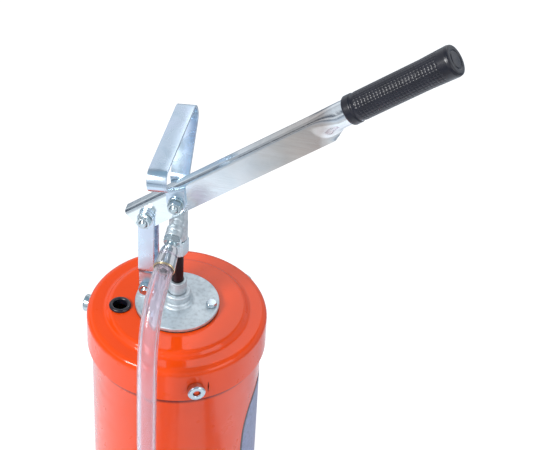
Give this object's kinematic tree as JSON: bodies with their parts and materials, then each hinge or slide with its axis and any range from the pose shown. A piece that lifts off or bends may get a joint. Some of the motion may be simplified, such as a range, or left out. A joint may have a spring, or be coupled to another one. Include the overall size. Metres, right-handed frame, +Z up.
{
  "type": "lever drum grease pump",
  "caption": "Hand-operated drum pump for oil and grease: lidded drum, lever-worked piston pump, clear delivery hose and crosswise carrying handle.",
  "frame": {"origin": "centre of the drum's flat bottom, on the surface it stands on", "axes": "+Z up along the drum and the piston rod; +X to the right as a person faces the hose side, the lever reaches 14 degrees from +X towards -Y; -Y is the side the hose hangs on"},
  "size_m": [0.3549, 0.4445, 0.7408],
  "materials": {
    "orange_paint": "gloss orange-red enamel",
    "zinc_plate": "bright blue-white zinc plate on pressed steel",
    "cast_zinc": "zinc plate over a rough casting",
    "black_steel": "blackened, oily steel",
    "plain_steel": "plain turned steel",
    "chrome_sleeve": "polished plate",
    "brass_rim": "thin worn brass edge",
    "black_rubber": "satin black moulded rubber",
    "clear_hose": "clear flexible PVC with a faint pink tint",
    "gasket": "matt dark gasket"
  },
  "bodies": {
    "drum": {"drum_shell": "orange_paint", "drum_bottom": "orange_paint", "lid_cover": "orange_paint", "lid_gasket": "gasket", "lid_stud_1": "orange_paint", "lid_stud_2": "orange_paint", "lid_stud_3": "orange_paint", "lid_nut_1": "zinc_plate", "lid_nut_2": "zinc_plate", "lid_nut_3": "zinc_plate", "nozzle_grommet": "black_rubber", "pump_flange": "cast_zinc", "flange_gasket": "gasket", "flange_bolt_1": "zinc_plate", "flange_bolt_2": "zinc_plate", "flange_bolt_3": "zinc_plate", "flange_nut_1": "zinc_plate", "flange_nut_2": "zinc_plate", "flange_nut_3": "zinc_plate", "gland_nut": "cast_zinc", "rod_packing": "gasket", "pump_barrel": "plain_steel", "foot_valve_body": "cast_zinc", "foot_valve_cage": "plain_steel", "intake_strainer": "plain_steel", "hose_coil": "clear_hose", "spout_ferrule": "chrome_sleeve", "spout_tube": "zinc_plate"},
    "rod_head": {"piston_rod": "black_steel", "piston_body": "plain_steel", "piston_seal": "black_rubber", "pump_head": "cast_zinc", "head_lock_nut": "zinc_plate", "outlet_fitting": "zinc_plate", "hose_ferrule": "chrome_sleeve", "ferrule_rim": "brass_rim", "hose_nipple": "plain_steel", "pivot_bolt": "zinc_plate", "pivot_washer": "zinc_plate", "pivot_nut": "zinc_plate", "hose_run": "clear_hose"},
    "lever": {"lever_channel": "zinc_plate", "lever_grip": "black_rubber"},
    "link": {"link_bar_front": "zinc_plate", "link_bar_rear": "zinc_plate", "link_top_bolt": "zinc_plate", "link_top_washer": "zinc_plate", "link_top_nut": "zinc_plate", "link_bottom_bolt": "zinc_plate", "link_bottom_nut": "zinc_plate"},
    "carry_handle": {"carry_handle": "zinc_plate"},
    "foot_ball": {"foot_valve_ball": "plain_steel"},
    "piston_ball": {"piston_valve_ball": "plain_steel"}
  },
  "joints": [
    {"name": "pump_stroke", "type": "slide", "parent": "drum", "child": "rod_head", "axis": [0, 0, 1], "range_m": [-0.03, 0.0053], "deforming": ["hose_run"]},
    {"name": "lever_swing", "type": "hinge", "parent": "rod_head", "child": "lever", "pos_m": [0, 0, 0.513], "axis": [-0.2419, -0.9703, 0], "range_deg": [-46, 8]},
    {"name": "link_swing", "type": "hinge", "parent": "drum", "child": "link", "pos_m": [-0.03008, 0.0075, 0.3908], "axis": [-0.2419, -0.9703, 0], "range_deg": [-1.3, 7.1]},
    {"name": "carry_handle_swing", "type": "hinge", "parent": "rod_head", "child": "carry_handle", "pos_m": [0, 0, 0.513], "axis": [-0.2419, -0.9703, 0], "range_deg": [-20, 30]},
    {"name": "foot_ball_lift", "type": "slide", "parent": "drum", "child": "foot_ball", "axis": [0, 0, 1], "range_m": [0, 0.004]},
    {"name": "piston_ball_lift", "type": "slide", "parent": "rod_head", "child": "piston_ball", "axis": [0, 0, 1], "range_m": [0, 0.0025]}
  ],
  "couplings": [
    {"joint": "pump_stroke", "follows": "lever_swing", "m_per_rad": 0.037},
    {"joint": "link_swing", "follows": "lever_swing", "ratio": -0.151}
  ]
}
